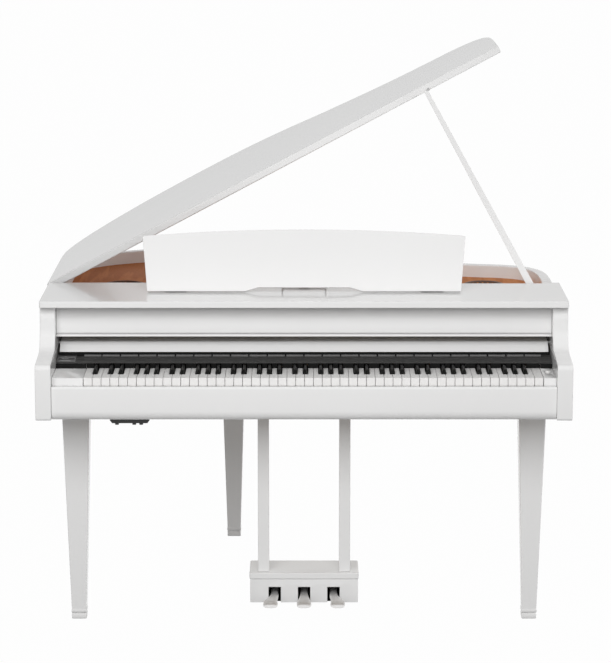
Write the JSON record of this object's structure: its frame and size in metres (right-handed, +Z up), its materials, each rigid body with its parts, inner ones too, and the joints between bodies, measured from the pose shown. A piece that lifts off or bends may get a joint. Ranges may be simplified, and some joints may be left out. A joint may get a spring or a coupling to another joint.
{
  "type": "digital grand piano",
  "caption": "Digital grand piano with a propped lid, sliding key cover, leaning music rest, full keyboard and pedal lyre on tapered square legs.",
  "frame": {"origin": "on the floor, under the middle of the case", "axes": "+X to the treble end, +Y to the tail, +Z up"},
  "size_m": [1.4357, 1.237, 1.5738],
  "materials": {
    "white_lacquer": "gloss",
    "black_gloss": "gloss",
    "dark_panel": "satin",
    "key_white": "satin",
    "key_black": "satin",
    "brown_wood": "satin",
    "plain_board": "matte",
    "grey_steel": "satin",
    "supply_case": "matte",
    "silver": "polished",
    "black_rubber": "matte",
    "red_felt": "matte",
    "green_board": "satin",
    "paper_cone": "matte"
  },
  "bodies": {
    "root": {"rim_shell": "white_lacquer", "left_arm": "white_lacquer", "right_arm": "white_lacquer", "bottom_board": "plain_board", "sound_panel": "brown_wood", "speaker_left": "paper_cone", "speaker_right": "paper_cone", "belly_rail": "plain_board", "keybed": "plain_board", "key_slip": "white_lacquer", "name_board": "white_lacquer", "top_board": "white_lacquer", "key_frame": "grey_steel", "key_felt": "red_felt", "control_panel": "dark_panel", "left_key_block": "white_lacquer", "right_key_block": "white_lacquer", "lid_hinge_case_leaf": "grey_steel", "stay_bracket": "grey_steel", "rest_hinge_left": "grey_steel", "rest_hinge_right": "grey_steel", "bail_clip": "black_gloss", "leg_front_left": "white_lacquer", "leg_front_right": "white_lacquer", "leg_rear": "white_lacquer", "lyre_post_left": "white_lacquer", "lyre_post_right": "white_lacquer", "pedal_box": "white_lacquer", "pedal_box_top": "white_lacquer", "pedal_axle": "grey_steel", "main_circuit_board": "green_board", "power_supply": "supply_case", "headphone_box": "black_gloss", "mains_inlet": "black_gloss"},
    "a_keys": {"keys_a": "key_white"},
    "a_sharp_keys": {"keys_a_sharp": "key_black"},
    "b_keys": {"keys_b": "key_white"},
    "c_keys": {"keys_c": "key_white"},
    "c_sharp_keys": {"keys_c_sharp": "key_black"},
    "d_keys": {"keys_d": "key_white"},
    "d_sharp_keys": {"keys_d_sharp": "key_black"},
    "e_keys": {"keys_e": "key_white"},
    "f_keys": {"keys_f": "key_white"},
    "f_sharp_keys": {"keys_f_sharp": "key_black"},
    "g_keys": {"keys_g": "key_white"},
    "g_sharp_keys": {"keys_g_sharp": "key_black"},
    "slider": {"volume_slider": "black_gloss"},
    "button": {"power_button": "key_white"},
    "cover": {"key_cover": "white_lacquer"},
    "lid_group": {"lid": "white_lacquer", "lid_hinge_lid_leaf": "grey_steel", "lid_bumper": "black_rubber", "stay_peg": "grey_steel"},
    "stay": {"lid_stay": "white_lacquer"},
    "rest": {"music_rest": "white_lacquer"},
    "bail": {"rest_bail": "grey_steel"},
    "left_pedal": {"pedal_left": "silver"},
    "middle_pedal": {"pedal_middle": "silver"},
    "right_pedal": {"pedal_right": "silver"}
  },
  "joints": [
    {"name": "a_keys_press", "type": "hinge", "parent": "root", "child": "a_keys", "pos_m": [0.025, -0.3465, 0.712], "axis": [1, 0, 0], "range_deg": [0, 2.5], "stiffness_Nm_per_rad": 30, "springref_deg": -4.58},
    {"name": "a_sharp_keys_press", "type": "hinge", "parent": "root", "child": "a_sharp_keys", "pos_m": [0.025, -0.3465, 0.712], "axis": [1, 0, 0], "range_deg": [0, 2.5], "stiffness_Nm_per_rad": 30, "springref_deg": -4.58},
    {"name": "b_keys_press", "type": "hinge", "parent": "root", "child": "b_keys", "pos_m": [0.025, -0.3465, 0.712], "axis": [1, 0, 0], "range_deg": [0, 2.5], "stiffness_Nm_per_rad": 30, "springref_deg": -4.58},
    {"name": "c_keys_press", "type": "hinge", "parent": "root", "child": "c_keys", "pos_m": [0.025, -0.3465, 0.712], "axis": [1, 0, 0], "range_deg": [0, 2.5], "stiffness_Nm_per_rad": 30, "springref_deg": -4.58},
    {"name": "c_sharp_keys_press", "type": "hinge", "parent": "root", "child": "c_sharp_keys", "pos_m": [0.025, -0.3465, 0.712], "axis": [1, 0, 0], "range_deg": [0, 2.5], "stiffness_Nm_per_rad": 30, "springref_deg": -4.58},
    {"name": "d_keys_press", "type": "hinge", "parent": "root", "child": "d_keys", "pos_m": [0.025, -0.3465, 0.712], "axis": [1, 0, 0], "range_deg": [0, 2.5], "stiffness_Nm_per_rad": 30, "springref_deg": -4.58},
    {"name": "d_sharp_keys_press", "type": "hinge", "parent": "root", "child": "d_sharp_keys", "pos_m": [0.025, -0.3465, 0.712], "axis": [1, 0, 0], "range_deg": [0, 2.5], "stiffness_Nm_per_rad": 30, "springref_deg": -4.58},
    {"name": "e_keys_press", "type": "hinge", "parent": "root", "child": "e_keys", "pos_m": [0.025, -0.3465, 0.712], "axis": [1, 0, 0], "range_deg": [0, 2.5], "stiffness_Nm_per_rad": 30, "springref_deg": -4.58},
    {"name": "f_keys_press", "type": "hinge", "parent": "root", "child": "f_keys", "pos_m": [0.025, -0.3465, 0.712], "axis": [1, 0, 0], "range_deg": [0, 2.5], "stiffness_Nm_per_rad": 30, "springref_deg": -4.58},
    {"name": "f_sharp_keys_press", "type": "hinge", "parent": "root", "child": "f_sharp_keys", "pos_m": [0.025, -0.3465, 0.712], "axis": [1, 0, 0], "range_deg": [0, 2.5], "stiffness_Nm_per_rad": 30, "springref_deg": -4.58},
    {"name": "g_keys_press", "type": "hinge", "parent": "root", "child": "g_keys", "pos_m": [0.025, -0.3465, 0.712], "axis": [1, 0, 0], "range_deg": [0, 2.5], "stiffness_Nm_per_rad": 30, "springref_deg": -4.58},
    {"name": "g_sharp_keys_press", "type": "hinge", "parent": "root", "child": "g_sharp_keys", "pos_m": [0.025, -0.3465, 0.712], "axis": [1, 0, 0], "range_deg": [0, 2.5], "stiffness_Nm_per_rad": 30, "springref_deg": -4.58},
    {"name": "volume_slide", "type": "slide", "parent": "root", "child": "slider", "axis": [1, 0, 0], "range_m": [0, 0.028]},
    {"name": "power_press", "type": "slide", "parent": "root", "child": "button", "axis": [0, 0, -1], "range_m": [0, 0.002], "stiffness_N_per_m": 500, "springref_m": -0.001},
    {"name": "cover_slide", "type": "slide", "parent": "root", "child": "cover", "axis": [0, -0.9986, -0.0523], "range_m": [0, 0.185]},
    {"name": "lid_close", "type": "hinge", "parent": "root", "child": "lid_group", "pos_m": [-0.706, 0, 0.8885], "axis": [0, 1, 0], "range_deg": [0, 28]},
    {"name": "stay_fold", "type": "hinge", "parent": "root", "child": "stay", "pos_m": [0.648, -0.176, 0.88], "axis": [0, 1, 0], "range_deg": [-61.35, 0]},
    {"name": "rest_fold", "type": "hinge", "parent": "root", "child": "rest", "pos_m": [0, -0.31793, 0.9165], "axis": [1, 0, 0], "range_deg": [-75, 0]},
    {"name": "bail_fold", "type": "hinge", "parent": "root", "child": "bail", "pos_m": [0, -0.24793, 0.9165], "axis": [1, 0, 0], "range_deg": [-150, 0]},
    {"name": "left_pedal_press", "type": "hinge", "parent": "root", "child": "left_pedal", "pos_m": [0, -0.3185, 0.072], "axis": [1, 0, 0], "range_deg": [0, 8], "stiffness_Nm_per_rad": 20, "springref_deg": -3.44},
    {"name": "middle_pedal_press", "type": "hinge", "parent": "root", "child": "middle_pedal", "pos_m": [0, -0.3185, 0.072], "axis": [1, 0, 0], "range_deg": [0, 8], "stiffness_Nm_per_rad": 20, "springref_deg": -3.44},
    {"name": "right_pedal_press", "type": "hinge", "parent": "root", "child": "right_pedal", "pos_m": [0, -0.3185, 0.072], "axis": [1, 0, 0], "range_deg": [0, 8], "stiffness_Nm_per_rad": 20, "springref_deg": -3.44}
  ],
  "couplings": [
    {"joint": "stay_fold", "follows": "lid_close", "ratio": -2.191},
    {"joint": "bail_fold", "follows": "rest_fold", "ratio": 2}
  ]
}
